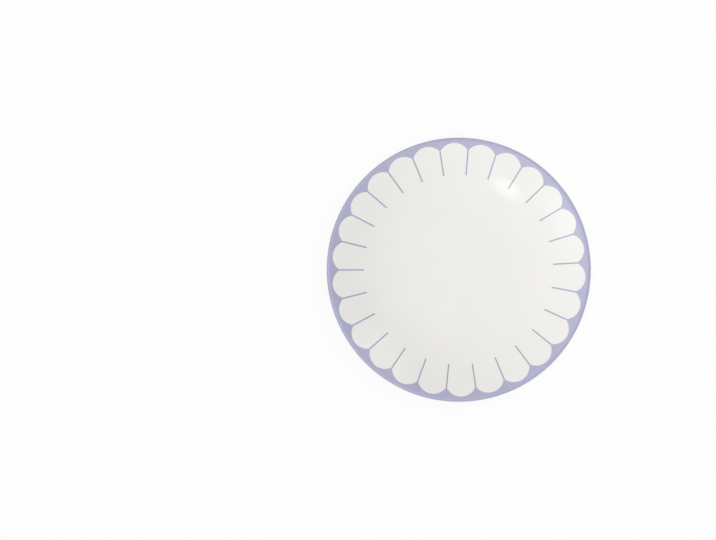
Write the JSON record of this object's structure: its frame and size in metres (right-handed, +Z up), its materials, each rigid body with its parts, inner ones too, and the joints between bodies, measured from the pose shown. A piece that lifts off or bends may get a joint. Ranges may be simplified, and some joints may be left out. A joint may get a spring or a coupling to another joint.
{
  "type": "dessert plate",
  "caption": "Round glazed porcelain dessert plate with a flat well, a sloping rim, a foot ring and a coloured border of round-tipped petals.",
  "frame": {"origin": "centre of the plane on which the foot ring stands", "axes": "+Z up along the plate's axis, +X and +Y across the plate, with the first line of the border close to +X"},
  "size_m": [0.205, 0.205, 0.02],
  "materials": {
    "porcelain": "bare, fine and matte",
    "white_glaze": "gloss",
    "border_glaze": "gloss"
  },
  "bodies": {
    "root": {"porcelain_body": "porcelain", "face_glaze": "white_glaze", "rim_band": "border_glaze", "petal_lines": "border_glaze", "back_glaze": "white_glaze", "base_glaze": "white_glaze"}
  },
  "joints": []
}
